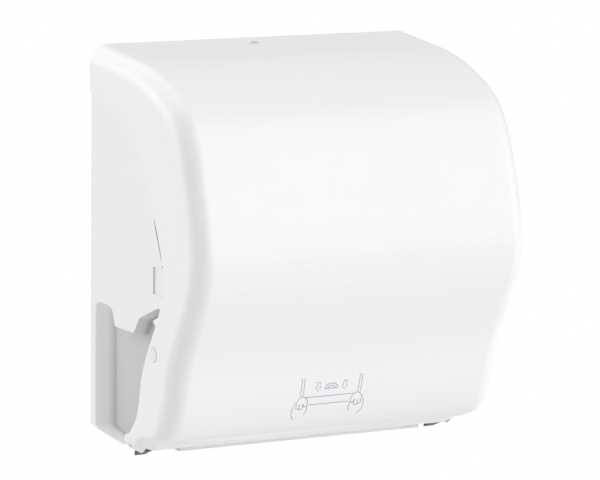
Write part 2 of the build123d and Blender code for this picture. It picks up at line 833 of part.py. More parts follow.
crank_pin = bored_rod(crank_pin_at, crank_pin_radius, 0, crank_inner, crank_pin_end)
crank_pin.label = "crank_pin"
export_step(crank_pin, "parts/crank_pin.step")

knob_radius = 20.0
knob_flutes = 10
flute_radius = 4.0
flute_depth = 2.0
knob_bevel = 1.0
knob_wall = 3.0
knob_hub = 8.0
with BuildPart() as hand_knob:
    with BuildSketch(Plane.YZ.offset(knob_inner)):
        with Locations(drum_axis):
            Circle(knob_radius)
            with PolarLocations(knob_radius + flute_radius - flute_depth, knob_flutes):
                Circle(flute_radius, mode=Mode.SUBTRACT)
    extrude(amount=knob_outer - knob_inner)
    chamfer(hand_knob.faces().sort_by(Axis.X)[-1].edges(), length=knob_bevel)
    with BuildSketch(Plane.YZ.offset(knob_inner)):
        with Locations(drum_axis):
            Circle(knob_radius - flute_depth - knob_wall)
            Circle(knob_hub, mode=Mode.SUBTRACT)
    extrude(amount=knob_outer - knob_inner - knob_wall, mode=Mode.SUBTRACT)
    with BuildSketch(Plane.YZ.offset(knob_inner)):
        with Locations(drum_axis):
            Circle(axle_radius)
    extrude(amount=axle_right - knob_inner, mode=Mode.SUBTRACT)
hand_knob.part.label = "hand_knob"
export_step(hand_knob.part, "parts/hand_knob.step")

# ------------------------------------------------------------------ knife
knife_plane = Plane(
    origin=(0, *knife_pivot), x_dir=(1, 0, 0), z_dir=(0, -blade_way[1], blade_way[0])
)
with BuildPart() as knife_carrier:
    with BuildSketch(Plane.YZ.offset(-carrier_half)):
        with Locations(knife_pivot):
            Circle(carrier_eye)
    extrude(amount=2 * carrier_half)
    with BuildSketch(knife_plane):
        Rectangle(2 * carrier_half, carrier_reach, align=(Align.CENTER, Align.MIN))
    extrude(amount=carrier_thickness / 2, both=True)
    with BuildSketch(knife_plane):
        with Locations((0, blade_root)):
            Rectangle(2 * carrier_half, carrier_reach, align=(Align.CENTER, Align.MIN))
    extrude(amount=blade_thickness / 2, both=True, mode=Mode.SUBTRACT)
    for side in (-1, 1):
        add(bored_rod(knife_pivot, knife_pin_radius, 0, side * carrier_half, side * knife_pin_end))
knife_carrier.part.label = "knife_carrier"
export_step(knife_carrier.part, "parts/knife_carrier.step")

with BuildPart() as knife_blade:
    with BuildSketch(knife_plane):
        with BuildLine():
            tooth_pitch = 2 * blade_half / tooth_count
            teeth = [(-blade_half, knife_reach - tooth_depth)]
            for tooth in range(tooth_count):
                tooth_x = tooth * tooth_pitch - blade_half
                teeth.append((tooth_x + tooth_pitch / 2, knife_reach))
                teeth.append((tooth_x + tooth_pitch, knife_reach - tooth_depth))
            Polyline(*teeth, (blade_half, blade_root), (-blade_half, blade_root), close=True)
        make_face()
    extrude(amount=blade_thickness / 2, both=True)
knife_blade.part.label = "knife_blade"
export_step(knife_blade.part, "parts/knife_blade.step")

follower_pin = bored_rod(follower_at, knife_pin_radius, 0, -carrier_half, -follower_end)
follower_pin.label = "follower_pin"
export_step(follower_pin, "parts/follower_pin.step")

# ------------------------------------------------------------------ pinch roller on its sprung arm
pinch_radius = 9.0
nip = 0.36                   # between the roller and the drum's grip rings
nip_angle = 20.0             # the roller's direction, seen from the drum's axis
nip_reach = grip_radius + pinch_radius + nip
pinch_at = (
    drum_axis[0] + nip_reach * cos(radians(nip_angle)),
    drum_axis[1] + nip_reach * sin(radians(nip_angle)),
)
pinch_half = pinch_plate_inner - 2.0
pinch_axle_radius = 3.0
pinch_plate = 4.0
pinch_plate_ends = (7.0, 6.0)
spreader_share = 0.32        # of the way from the pivot to the roller
spreader_at = (
    pinch_pivot[0] + spreader_share * (pinch_at[0] - pinch_pivot[0]),
    pinch_pivot[1] + spreader_share * (pinch_at[1] - pinch_pivot[1]),
)
spreader_radius = 3.5
spreader_bite = 1.0


def pinch_plate_piece(side):
    """One side plate of the pinch arm."""
    with BuildPart() as plate:
        with BuildSketch(Plane.YZ.offset(side * pinch_plate_inner)):
            with Locations(pinch_pivot):
                Circle(pinch_plate_ends[0])
            with Locations(pinch_at):
                Circle(pinch_plate_ends[1])
            make_hull()
            with Locations(pinch_pivot):
                Circle(pivot_radius + running_clearance, mode=Mode.SUBTRACT)
            with Locations(pinch_at):
                Circle(pinch_axle_radius + running_clearance, mode=Mode.SUBTRACT)
        extrude(amount=side * pinch_plate)
    return plate.part


with BuildPart() as pinch_arm:
    add(pinch_plate_piece(-1))
    add(pinch_plate_piece(1))
    spreader_half = pinch_plate_inner + spreader_bite
    add(bored_rod(spreader_at, spreader_radius, 0, -spreader_half, spreader_half))
pinch_arm.part.label = "pinch_arm"
export_step(pinch_arm.part, "parts/pinch_arm.step")

pinch_roller = bored_rod(pinch_at, pinch_radius, pinch_axle_radius, -pinch_half, pinch_half)
pinch_roller.label = "pinch_roller"
export_step(pinch_roller, "parts/pinch_roller.step")

pinch_axle = bored_rod(pinch_at, pinch_axle_radius, 0, -cap_outer, cap_outer)
pinch_axle.label = "pinch_axle"
export_step(pinch_axle, "parts/pinch_axle.step")

torsion_wire = 0.55
torsion_radius = 4.2
torsion_pitch = 1.35
torsion_turns = 3
torsion_leg = 13.0
torsion_start = pinch_plate_inner + pinch_plate + 1.0
wire_sides = 8


def torsion_coil():
    """Coil of a torsion spring along Z, starting at the origin's height."""
    with BuildPart() as coil:
        with BuildLine():
            turn = Helix(
                pitch=torsion_pitch, height=torsion_pitch * torsion_turns, radius=torsion_radius
            )
        with BuildSketch(Plane(origin=turn @ 0, z_dir=turn % 0)):
            RegularPolygon(torsion_wire, wire_sides)
        sweep(is_frenet=True)
        with BuildSketch(Plane(origin=turn @ 1, z_dir=turn % 1)):
            RegularPolygon(torsion_wire, wire_sides)
        extrude(amount=torsion_leg)
    return coil.part


torsion_spring = torsion_coil()
with BuildPart() as pinch_springs:
    for side in (-1, 1):
        coil_plane = Plane(
            origin=(side * torsion_start, *pinch_pivot), x_dir=(0, 0.78, 0.63), z_dir=(side, 0, 0)
        )
        add(coil_plane * torsion_spring)
pinch_springs.part.label = "pinch_springs"
export_step(pinch_springs.part, "parts/pinch_springs.step")

# ------------------------------------------------------------------ return spring of the crank
spring_x = crank_outer - 6.5
spring_wire = 0.8
spring_coil_radius = 4.4
spring_turns = 11
spring_stem = 12.0           # from each pin to the coil
hook_gap = 0.4
anchor_flange = 1.5
anchor_end = plate_outer + 17.0
with BuildPart() as spring_anchor:
    add(bored_rod(spring_anchor_at, anchor_radius, 0, -plate_inner, -anchor_end))
    add(bored_rod(spring_anchor_at, anchor_radius + 2.0, 0, anchor_flange - anchor_end, -anchor_end))
spring_anchor.part.label = "spring_anchor"
export_step(spring_anchor.part, "parts/spring_anchor.step")

spring_foot = Vector(spring_x, *crank_pin_at)
spring_head = Vector(spring_x, *spring_anchor_at)
spring_way = (spring_head - spring_foot).normalized()
coil_foot = spring_foot + spring_way * spring_stem
coil_length = (spring_head - spring_foot).length - 2 * spring_stem
coil_plane = Plane(origin=coil_foot, x_dir=(1, 0, 0), z_dir=spring_way)


def hook_ring(at, pin):
    """Closed loop of wire round a pin that lies along X."""
    with BuildPart() as ring:
        with BuildSketch(Plane(origin=at, x_dir=(1, 0, 0), z_dir=(0, 0, 1))):
            with Locations((0, pin + hook_gap + spring_wire)):
                RegularPolygon(spring_wire, wire_sides)
        revolve(axis=Axis(at, (1, 0, 0)))
    return ring.part


def wire(start, end):
    """Straight length of the spring's wire."""
    with BuildPart() as length:
        with BuildSketch(Plane(origin=start, z_dir=end - start)):
            RegularPolygon(spring_wire, wire_sides)
        extrude(amount=(end - start).length)
    return length.part


with BuildPart() as return_spring:
    with BuildLine(coil_plane):
        turns = Helix(
            pitch=coil_length / spring_turns, height=coil_length, radius=spring_coil_radius
        )
    with BuildSketch(Plane(origin=turns @ 0, z_dir=turns % 0)):
        RegularPolygon(spring_wire, wire_sides)
    sweep(is_frenet=True)
    for end_at, pin, way, coil_end in (
        (spring_foot, crank_pin_radius, spring_way, turns @ 0),
        (spring_head, anchor_radius, spring_way * -1, turns @ 1),
    ):
        add(hook_ring(end_at, pin))
        stem_root = end_at + way * (pin + hook_gap + spring_wire)
        stem_top = end_at + way * spring_stem
        add(wire(stem_root, stem_top + way * spring_wire))
        add(wire(stem_top - (coil_end - stem_top).normalized() * spring_wire, coil_end))
return_spring.part.label = "return_spring"
export_step(return_spring.part, "parts/return_spring.step")

# ------------------------------------------------------------------ lock of the cover
case_radius = 8.5
case_foot = housing_top - 16.0
cylinder_top = housing_top - 2.8
key_slot = (1.6, 7.0)
key_slot_depth = 3.0
cam_top = case_foot - moving_gap
cam_foot = cam_top - 3.5
cam_half = 4.0
cam_reach = 15.8
finger_inner = 13.4
finger_length = 9.5

with BuildPart() as lock_case:
    with BuildSketch(Plane.XY.offset(case_foot)):
        with Locations((lock_x, lock_y)):
            Circle(case_radius)
            Circle(lock_radius + running_clearance, mode=Mode.SUBTRACT)
    extrude(amount=housing_top - case_foot)
    add(cover_cavity, mode=Mode.INTERSECT)
lock_case.part.label = "lock_case"
export_step(lock_case.part, "parts/lock_case.step")

with BuildPart() as lock_cylinder:
    with BuildSketch(Plane.XY.offset(cam_top)):
        with Locations((lock_x, lock_y)):
            Circle(lock_radius)
    extrude(amount=cylinder_top - cam_top)
    with BuildSketch(Plane.XY.offset(cylinder_top - key_slot_depth)):
        with Locations((lock_x, lock_y)):
            Rectangle(key_slot[1], key_slot[0])
    extrude(amount=2 * key_slot_depth, mode=Mode.SUBTRACT)
lock_cylinder.part.label = "lock_cylinder"
export_step(lock_cylinder.part, "parts/lock_cylinder.step")

with BuildPart() as lock_cam:
    with BuildSketch(Plane.XY.offset(cam_foot)):
        with Locations((lock_x, lock_y)):
            Circle(lock_radius)
        with Locations((lock_x + cam_reach / 2, lock_y)):
            Rectangle(cam_reach, 2 * cam_half)
        with Locations((lock_x + finger_inner, lock_y)):
            Rectangle(cam_reach - finger_inner, finger_length, align=(Align.MIN, Align.MIN))
    extrude(amount=cam_top - cam_foot)
lock_cam.part.label = "lock_cam"
export_step(lock_cam.part, "parts/lock_cam.step")

keeper_left = lock_x - 10.0
keeper_right = lock_x + 10.0
post_right = lock_x - 4.6
post_front = lock_y + 10.0
post_rear = lock_y + 12.5
keeper_foot = housing_top - 15.0
keeper_thickness = 3.0
post_foot = housing_top - 22.0
with BuildPart() as lock_keeper:
    with Locations((keeper_left, post_front, keeper_foot)):
        Box(
            keeper_right - keeper_left, -back_wall - post_front, keeper_thickness,
            align=(Align.MIN, Align.MIN, Align.MIN),
        )
    with Locations((keeper_left, post_front, post_foot)):
        Box(
            post_right - keeper_left, post_rear - post_front, keeper_foot - post_foot,
            align=(Align.MIN, Align.MIN, Align.MIN),
        )
lock_keeper.part.label = "lock_keeper"
export_step(lock_keeper.part, "parts/lock_keeper.step")

# ------------------------------------------------------------------ plugs in the cover's flanges
plug_head_proud = 0.4
plug_shoulder_radius = 9.0
plug_shoulder = 3.0
plug_shank_radius = 4.0
inner_face = cover_half - cover_wall
plug_end = inner_face - 8.5
with BuildPart() as flange_plugs:
    for side in (-1, 1):
        add(bored_rod(plug, plug_radius, 0, side * inner_face, side * (cover_half + plug_head_proud)))
        add(bored_rod(plug, plug_shoulder_radius, 0, side * (inner_face - plug_shoulder), side * inner_face))
        add(bored_rod(plug, plug_shank_radius, 0, side * plug_end, side * (inner_face - plug_shoulder)))
flange_plugs.part.label = "flange_plugs"
export_step(flange_plugs.part, "parts/flange_plugs.step")
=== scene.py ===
"""Looks of the wall-mounted roll towel dispenser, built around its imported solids."""
import math

import bmesh
import bpy
from mathutils import Matrix, Vector
from mathutils.bvhtree import BVHTree


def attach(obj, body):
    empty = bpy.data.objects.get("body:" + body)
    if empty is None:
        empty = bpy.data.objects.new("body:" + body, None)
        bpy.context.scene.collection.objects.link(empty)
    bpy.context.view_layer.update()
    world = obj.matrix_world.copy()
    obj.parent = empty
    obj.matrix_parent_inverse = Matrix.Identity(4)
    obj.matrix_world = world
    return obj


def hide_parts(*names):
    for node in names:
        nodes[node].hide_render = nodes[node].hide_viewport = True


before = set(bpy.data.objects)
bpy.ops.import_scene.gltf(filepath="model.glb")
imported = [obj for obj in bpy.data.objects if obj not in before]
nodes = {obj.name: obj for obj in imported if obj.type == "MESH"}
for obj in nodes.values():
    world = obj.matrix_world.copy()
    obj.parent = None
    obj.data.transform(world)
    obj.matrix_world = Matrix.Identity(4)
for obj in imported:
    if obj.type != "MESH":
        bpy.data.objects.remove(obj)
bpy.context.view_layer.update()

# ---------------------------------------------------------------- front cover
# The cover is one injection moulding in white ABS with a polished tool face, so it is glossy and
# very slightly wavy where the skin sank while it cooled.  It turns on two feet at its lower rear corners.


def new_group(name, inputs):
    """A shader group with named inputs and the three outputs of a finish; returns it with its end nodes."""
    group = bpy.data.node_groups.new(name, "ShaderNodeTree")
    for label, kind, value in inputs:
        socket = group.interface.new_socket(label, in_out="INPUT", socket_type=kind)
        socket.default_value = value
    outputs = {"Colour": "NodeSocketColor", "Roughness": "NodeSocketFloat", "Normal": "NodeSocketVector"}
    for label, kind in outputs.items():
        group.interface.new_socket(label, in_out="OUTPUT", socket_type=kind)
    return group, group.nodes.new("NodeGroupInput"), group.nodes.new("NodeGroupOutput")


def moulded_group():
    """Moulded plastic: a softly clouded colour, handling marks in the roughness, a fine skin, sink marks."""
    group, enter, leave = new_group(
        "moulded_skin",
        [
            ("Colour", "NodeSocketColor", (0.8, 0.8, 0.8, 1)),
            ("Shade", "NodeSocketColor", (0.7, 0.7, 0.7, 1)),
            ("Cloud Scale", "NodeSocketFloat", 9.0),
            ("Roughness", "NodeSocketFloat", 0.3),
            ("Handling", "NodeSocketFloat", 0.08),
            ("Skin Scale", "NodeSocketFloat", 700.0),
            ("Skin Height", "NodeSocketFloat", 0.02),
        ],
    )
    make, link = group.nodes.new, group.links.new
    place = make("ShaderNodeTexCoord")
    cloud = make("ShaderNodeTexNoise")
    cloud.inputs["Detail"].default_value = 4
    link(place.outputs["Object"], cloud.inputs["Vector"])
    link(enter.outputs["Cloud Scale"], cloud.inputs["Scale"])
    tone = make("ShaderNodeMix")
    tone.data_type = "RGBA"
    link(cloud.outputs["Fac"], tone.inputs["Factor"])
    link(enter.outputs["Colour"], tone.inputs["A"])
    link(enter.outputs["Shade"], tone.inputs["B"])
    link(tone.outputs["Result"], leave.inputs["Colour"])

    smudge = make("ShaderNodeTexNoise")
    smudge.inputs["Scale"].default_value = 34
    smudge.inputs["Detail"].default_value = 6
    smudge.inputs["Roughness"].default_value = 0.62
    smudge.inputs["Distortion"].default_value = 0.6
    link(place.outputs["Object"], smudge.inputs["Vector"])
    spread = make("ShaderNodeMath")
    spread.operation = "MULTIPLY_ADD"
    link(smudge.outputs["Fac"], spread.inputs[0])
    link(enter.outputs["Handling"], spread.inputs[1])
    link(enter.outputs["Roughness"], spread.inputs[2])
    link(spread.outputs["Value"], leave.inputs["Roughness"])

    skin = make("ShaderNodeTexNoise")
    skin.inputs["Detail"].default_value = 3
    link(place.outputs["Object"], skin.inputs["Vector"])
    link(enter.outputs["Skin Scale"], skin.inputs["Scale"])
    sink = make("ShaderNodeTexNoise")
    sink.inputs["Scale"].default_value = 55
    sink.inputs["Detail"].default_value = 1
    link(place.outputs["Object"], sink.inputs["Vector"])
    fine = make("ShaderNodeBump")
    fine.inputs["Distance"].default_value = 0.0002
    link(enter.outputs["Skin Height"], fine.inputs["Strength"])
    link(skin.outputs["Fac"], fine.inputs["Height"])
    broad = make("ShaderNodeBump")
    broad.inputs["Distance"].default_value = 0.0006
    broad.inputs["Strength"].default_value = 0.03
    link(sink.outputs["Fac"], broad.inputs["Height"])
    link(fine.outputs["Normal"], broad.inputs["Normal"])
    link(broad.outputs["Normal"], leave.inputs["Normal"])
    return group


moulded_skin = moulded_group()


def grouped_finish(name, group, settings):
    """A material that a shader group feeds, with the group's settings; returns it with its shader."""
    finish = bpy.data.materials.new(name)
    finish.use_nodes = True
    tree = finish.node_tree
    shader = tree.nodes["Principled BSDF"]
    surface = tree.nodes.new("ShaderNodeGroup")
    surface.node_tree = group
    for label, value in settings.items():
        surface.inputs[label].default_value = value
    for output, socket in (("Colour", "Base Color"), ("Roughness", "Roughness"), ("Normal", "Normal")):
        tree.links.new(surface.outputs[output], shader.inputs[socket])
    return finish, shader


def plastic(name, colour, shade, rough, spread=0.08, cloud=9.0, skin=700.0, height=0.02, coat=0.0):
    """A moulded plastic finish: two near colours, the roughness and what handling adds to it, how fine its
    clouds and its skin are, how strong the skin is, and a clear coat."""
    settings = {
        "Colour": (*colour, 1),
        "Shade": (*shade, 1),
        "Cloud Scale": cloud,
        "Roughness": rough,
        "Handling": spread,
        "Skin Scale": skin,
        "Skin Height": height,
    }
    finish, shader = grouped_finish(name, moulded_skin, settings)
    shader.inputs["IOR"].default_value = 1.5
    shader.inputs["Coat Weight"].default_value = coat
    shader.inputs["Coat Roughness"].default_value = 0.22
    return finish


def dress(name, finish):
    """Gives a piece of the frame its finish."""
    piece = nodes[name]
    piece.data.materials.clear()
    piece.data.materials.append(finish)


# The moulding bellies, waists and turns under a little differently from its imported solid, in millimetres:
# stand_back says how far the front stands back at a height.  In a pair, a change starts at the first
# number and is whole at the second.  Reaches go out from the wall, depths down and widths sideways.
cut_levels = range(-186, 172, 6)
stand_back = [
    (176, 0), (150, -3.5), (135, -2), (115, 2.5), (90, 7), (60, 9), (30, 6.5), (0, 3),
    (-25, 4), (-50, 8), (-78, 10.5), (-105, 6.5), (-130, -1.5), (-150, -5), (-170, -3), (-190, 0),
]
front_start = -143
front_fade = 32
low_front_shift = 31
low_front_depths = (105, 130)
underside_lift = 7.5
underside_reaches = (92, 114)
underside_depths = (158, 188)
corner_lift = 4.5
corner_widths = (124, 134)
corner_reaches = (90, 105)
corner_depths = (164, 188)
lip_cut = 4.5
lip_top = -180
lip_half_width = 158
lip_end_fade = 8
lip_reaches = (116, 100)
flange_reach = 2.9
flange_inside = 166
flange_low_heights = (-18, 6)
flange_top = 50
flange_top_fade = 18
flange_reaches = (180, 152)
weld = 1e-6
crease = math.radians(34)


def eased(knots, at):
    """A smooth curve through (place, value) knots that fall in place."""
    at = min(max(at, knots[-1][0]), knots[0][0])
    for i in range(len(knots) - 1):
        (a, start), (b, end) = knots[i], knots[i + 1]
        if at >= b:
            before = knots[max(i - 1, 0)]
            after = knots[min(i + 2, len(knots) - 1)]
            span = a - b
            leave = (before[1] - end) / (before[0] - b) * span
            arrive = (start - after[1]) / (a - after[0]) * span
            t = (a - at) / span
            wave = (2 * t ** 3 - 3 * t ** 2 + 1) * start + (3 * t ** 2 - 2 * t ** 3) * end
            return wave - (t ** 3 - 2 * t ** 2 + t) * leave - (t ** 3 - t ** 2) * arrive


def ramp(value, low, high):
    """Runs smoothly from 0 at low to 1 at high."""
    t = min(max((value - low) / (high - low), 0), 1)
    return t * t * (3 - 2 * t)


def sliced_copy(node, levels):
    """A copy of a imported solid's mesh, cut all round at the given heights in millimetres."""
    shape = bmesh.new()
    shape.from_mesh(nodes[node].data)
    bmesh.ops.remove_doubles(shape, verts=shape.verts, dist=weld)
    for level in levels:
        everything = shape.verts[:] + shape.edges[:] + shape.faces[:]
        bmesh.ops.bisect_plane(
            shape, geom=everything, dist=weld, plane_co=(0, 0, level / 1000), plane_no=(0, 0, 1)
        )
    return shape


def finished_piece(name, shape):
    """Turns a shape into an object that is smooth but for its creases."""
    bmesh.ops.recalc_face_normals(shape, faces=shape.faces)
    for face in shape.faces:
        face.smooth = True
    for edge in shape.edges:
        edge.smooth = edge.calc_face_angle(0) < crease
    mesh = bpy.data.meshes.new(name)
    shape.to_mesh(mesh)
    shape.free()
    piece = bpy.data.objects.new(name, mesh)
    bpy.context.scene.collection.objects.link(piece)
    return piece


def shade_evenly(piece):
    """Lets a piece's large faces lead its shading, so that they stay flat up to their roundings."""
    even = piece.modifiers.new("even_shading", "WEIGHTED_NORMAL")
    even.keep_sharp = True
    even.weight = 100


def fitted_cover(name):
    """The cover's skin: its solid in level strips, eased to the moulding's own curves."""
    shape = sliced_copy("front_cover", cut_levels)
    for corner in shape.verts:
        x, y, z = (c * 1000 for c in corner.co)
        start = front_start + low_front_shift * ramp(-z, *low_front_depths)
        shift = eased(stand_back, z) * ramp(start - y, 0, front_fade)
        lift = underside_lift * ramp(-y, *underside_reaches) * ramp(-z, *underside_depths)
        turn_up = ramp(abs(x), *corner_widths) * ramp(-y, *corner_reaches) * ramp(-z, *corner_depths)
        lift += corner_lift * turn_up
        if z < lip_top:
            shift -= lip_cut * ramp(-y, *lip_reaches) * ramp(lip_half_width - abs(x), 0, lip_end_fade)
        if abs(x) > flange_inside:
            reach = ramp(z, *flange_low_heights) * ramp(flange_top - z, 0, flange_top_fade)
            shift += flange_reach * reach * ramp(-y, *flange_reaches)
        corner.co.y += shift / 1000
        corner.co.z += lift / 1000
    piece = finished_piece(name, shape)
    shade_evenly(piece)
    return piece


cover_skin = fitted_cover("cover_skin")
cover_finish = plastic(
    "cover_white", colour=(0.858, 0.856, 0.874), shade=(0.838, 0.836, 0.856), rough=0.34, cloud=7.0,
    coat=0.12,
)
cover_skin.data.materials.append(cover_finish)
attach(cover_skin, "cover")
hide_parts("front_cover")

# ---------------------------------------------------------------- sign over the outlet
# A plain instruction printed in one grey ink: a sheet under two guide lines, two arrows down, and a
# hand at each lower corner.  It is pad printed, so it follows the curve of the cover.

sign_centre = Vector((-0.0075, 0, -0.1365))
sign_scale = 0.95 / 1000
stroke_half = 0.00037
ink_flatness = 0.10
longest_edge = 0.004
before_cover = -0.5
arrow_offset = 14.5
sign_strokes = [
    # the two double guide lines
    ([(-33.0, 22.0), (-33.0, 3.5)], False),
    ([(-30.2, 22.0), (-30.2, 3.5)], False),
    ([(30.2, 22.0), (30.2, 3.5)], False),
    ([(33.0, 22.0), (33.0, 3.5)], False),
    # the sheet between the hands
    ([(-27.5, 2.0), (27.5, 2.0)], False),
    ([(-22.0, -6.0), (22.0, -6.0)], False),
    # a folded towel between the arrows
    ([(-7.0, 9.6), (7.0, 9.6)], False),
    ([(-7.0, 9.6), (-5.6, 12.8), (0.0, 14.6), (5.6, 12.8), (7.0, 9.6)], True),
    ([(-4.4, 9.6), (-3.0, 11.4), (3.0, 11.4), (4.4, 9.6)], True),
]
arrow = [
    (-1.6, 16.5), (1.6, 16.5), (1.6, 11.5), (3.3, 11.5),
    (0.0, 7.5), (-3.3, 11.5), (-1.6, 11.5), (-1.6, 16.5),
]
for side in (-1, 1):
    sign_strokes.append(([(x + side * arrow_offset, z) for x, z in arrow], False))
hand_lines = [
    [(33.0, 2.0), (36.5, -3.0), (39.0, -9.5), (38.5, -15.0), (35.0, -20.5)],
    [(27.5, 2.0), (29.5, 3.0), (33.0, 2.0)],
    [(27.5, 2.0), (24.5, -1.0), (24.0, -6.0), (26.3, -7.6), (28.3, -4.2)],
    [(24.0, -6.0), (23.0, -11.5), (24.5, -17.0)],
    [(28.3, -4.2), (28.6, -9.6), (31.2, -10.2), (31.6, -4.6)],
    [(31.6, -4.6), (32.6, -9.0), (35.0, -9.0), (34.6, -3.8)],
]
for line in hand_lines:
    for side in (-1, 1):
        sign_strokes.append(([(side * x, z) for x, z in line], True))


def printed_strokes(name, strokes):
    """Lines of ink laid on the front of the cover: flattened tubes that follow its surface."""
    curve = bpy.data.curves.new(name, "CURVE")
    curve.dimensions = "3D"
    curve.bevel_depth = stroke_half
    curve.bevel_resolution = 2
    curve.resolution_u = 8
    curve.use_fill_caps = True
    for points, bent in strokes:
        line = curve.splines.new("BEZIER")
        line.bezier_points.add(len(points) - 1)
        for knot, (x, z) in zip(line.bezier_points, points):
            knot.co = (x * sign_scale, 0, z * sign_scale)
            knot.handle_left_type = "AUTO" if bent else "VECTOR"
            knot.handle_right_type = knot.handle_left_type
    drawn = bpy.data.objects.new(name + "_lines", curve)
    bpy.context.scene.collection.objects.link(drawn)
    bpy.context.view_layer.update()
    mesh = bpy.data.meshes.new_from_object(drawn.evaluated_get(bpy.context.evaluated_depsgraph_get()))
    bpy.data.objects.remove(drawn)
    shape = bmesh.new()
    shape.from_mesh(mesh)
    bmesh.ops.remove_doubles(shape, verts=shape.verts, dist=weld)
    long_edges = [edge for edge in shape.edges if edge.calc_length() > longest_edge]
    bmesh.ops.subdivide_edges(shape, edges=long_edges, cuts=8, use_grid_fill=True)
    cover = BVHTree.FromObject(cover_skin, bpy.context.evaluated_depsgraph_get())
    for corner in shape.verts:
        corner.co.x += sign_centre.x
        corner.co.z += sign_centre.z
        touched = cover.ray_cast(Vector((corner.co.x, before_cover, corner.co.z)), Vector((0, 1, 0)))[0]
        corner.co.y = touched.y + corner.co.y * ink_flatness
    bmesh.ops.recalc_face_normals(shape, faces=shape.faces)
    shape.to_mesh(mesh)
    shape.free()
    mesh.name = name
    piece = bpy.data.objects.new(name, mesh)
    bpy.context.scene.collection.objects.link(piece)
    return piece


sign_print = printed_strokes("sign_print", sign_strokes)
ink = plastic(
    "grey_ink", colour=(0.33, 0.33, 0.36), shade=(0.34, 0.35, 0.37), rough=0.45, cloud=300.0, skin=1500.0
)
sign_print.data.materials.append(ink)
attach(sign_print, "cover")

# ---------------------------------------------------------------- lock in the roof
# A zinc cylinder lock in a black nylon case under the roof.  The key turns a hooked steel cam behind
# the post of the keeper on the housing.


def metal_group():
    """Metal with fine scratches along one way and a faint cloudiness."""
    group, enter, leave = new_group(
        "worked_metal",
        [
            ("Colour", "NodeSocketColor", (0.6, 0.6, 0.6, 1)),
            ("Tarnish", "NodeSocketColor", (0.5, 0.5, 0.5, 1)),
            ("Roughness", "NodeSocketFloat", 0.25),
            ("Stretch X", "NodeSocketFloat", 40.0),
            ("Stretch YZ", "NodeSocketFloat", 900.0),
        ],
    )
    make, link = group.nodes.new, group.links.new
    place = make("ShaderNodeTexCoord")
    apart = make("ShaderNodeSeparateXYZ")
    joined = make("ShaderNodeCombineXYZ")
    link(place.outputs["Object"], apart.inputs[0])
    for axis, label in (("X", "Stretch X"), ("Y", "Stretch YZ"), ("Z", "Stretch YZ")):
        times = make("ShaderNodeMath")
        times.operation = "MULTIPLY"
        link(apart.outputs[axis], times.inputs[0])
        link(enter.outputs[label], times.inputs[1])
        link(times.outputs[0], joined.inputs[axis])
    lines = make("ShaderNodeTexNoise")
    lines.inputs["Scale"].default_value = 1
    lines.inputs["Detail"].default_value = 5
    link(joined.outputs[0], lines.inputs["Vector"])
    cloud = make("ShaderNodeTexNoise")
    cloud.inputs["Scale"].default_value = 60
    cloud.inputs["Detail"].default_value = 5
    link(place.outputs["Object"], cloud.inputs["Vector"])
    tone = make("ShaderNodeMix")
    tone.data_type = "RGBA"
    link(cloud.outputs["Fac"], tone.inputs["Factor"])
    link(enter.outputs["Colour"], tone.inputs["A"])
    link(enter.outputs["Tarnish"], tone.inputs["B"])
    link(tone.outputs["Result"], leave.inputs["Colour"])
    worn = make("ShaderNodeMath")
    worn.operation = "MULTIPLY_ADD"
    worn.inputs[1].default_value = 0.16
    link(lines.outputs["Fac"], worn.inputs[0])
    link(enter.outputs["Roughness"], worn.inputs[2])
    link(worn.outputs[0], leave.inputs["Roughness"])
    bump = make("ShaderNodeBump")
    bump.inputs["Distance"].default_value = 0.0002
    bump.inputs["Strength"].default_value = 0.15
    link(lines.outputs["Fac"], bump.inputs["Height"])
    link(bump.outputs["Normal"], leave.inputs["Normal"])
    return group


worked_metal = metal_group()


def metal(name, colour, tarnish, rough, stretch=(40.0, 900.0)):
    """A metal finish: two near colours, the roughness, and how fine its scratches are along X and across."""
    settings = {
        "Colour": (*colour, 1),
        "Tarnish": (*tarnish, 1),
        "Roughness": rough,
        "Stretch X": stretch[0],
        "Stretch YZ": stretch[1],
    }
    finish, shader = grouped_finish(name, worked_metal, settings)
    shader.inputs["Metallic"].default_value = 1.0
    return finish


zinc = metal(
    "lock_zinc", colour=(0.86, 0.86, 0.87), tarnish=(0.76, 0.76, 0.77), rough=0.34, stretch=(600.0, 600.0)
)
dress("lock_cylinder", zinc)
steel = metal("bright_steel", colour=(0.66, 0.66, 0.67), tarnish=(0.52, 0.52, 0.54), rough=0.24)
dress("lock_cam", steel)
black_nylon = plastic(
    "black_nylon", colour=(0.045, 0.047, 0.050), shade=(0.060, 0.062, 0.066), rough=0.42, spread=0.16,
    skin=900.0, height=0.10,
)
dress("lock_case", black_nylon)

# ---------------------------------------------------------------- plugs in the side flanges
# Snap-in plugs in a slightly warmer plastic than the cover.  Each sits in a clear ring of shadow in
# its hole, with its shoulder behind the flange.

plug_cream = plastic(
    "plug_cream", colour=(0.82, 0.805, 0.765), shade=(0.78, 0.765, 0.72), rough=0.34, cloud=120.0
)
dress("flange_plugs", plug_cream)

# ---------------------------------------------------------------- rear housing
# The wall box is the same white ABS from a spark-eroded tool, a little duller than the cover.  Four
# screws through its back hold it, and its sides carry a drafted recess each.

housing_finish = plastic(
    "housing_white", colour=(0.836, 0.836, 0.850), shade=(0.812, 0.812, 0.828), rough=0.36, spread=0.12,
    cloud=6.0, skin=1100.0, height=0.05,
)
# A dark material painted on the side faces just behind the flange's edge, as the shadow in the joint.
painted_joint_shadow = plastic(
    "painted_joint_shadow", colour=(0.20, 0.20, 0.205), shade=(0.26, 0.26, 0.265), rough=0.7, cloud=90.0
)
inner_grey = plastic(
    "inner_grey", colour=(0.66, 0.665, 0.67), shade=(0.60, 0.605, 0.61), rough=0.44, spread=0.12,
    skin=800.0, height=0.06,
)
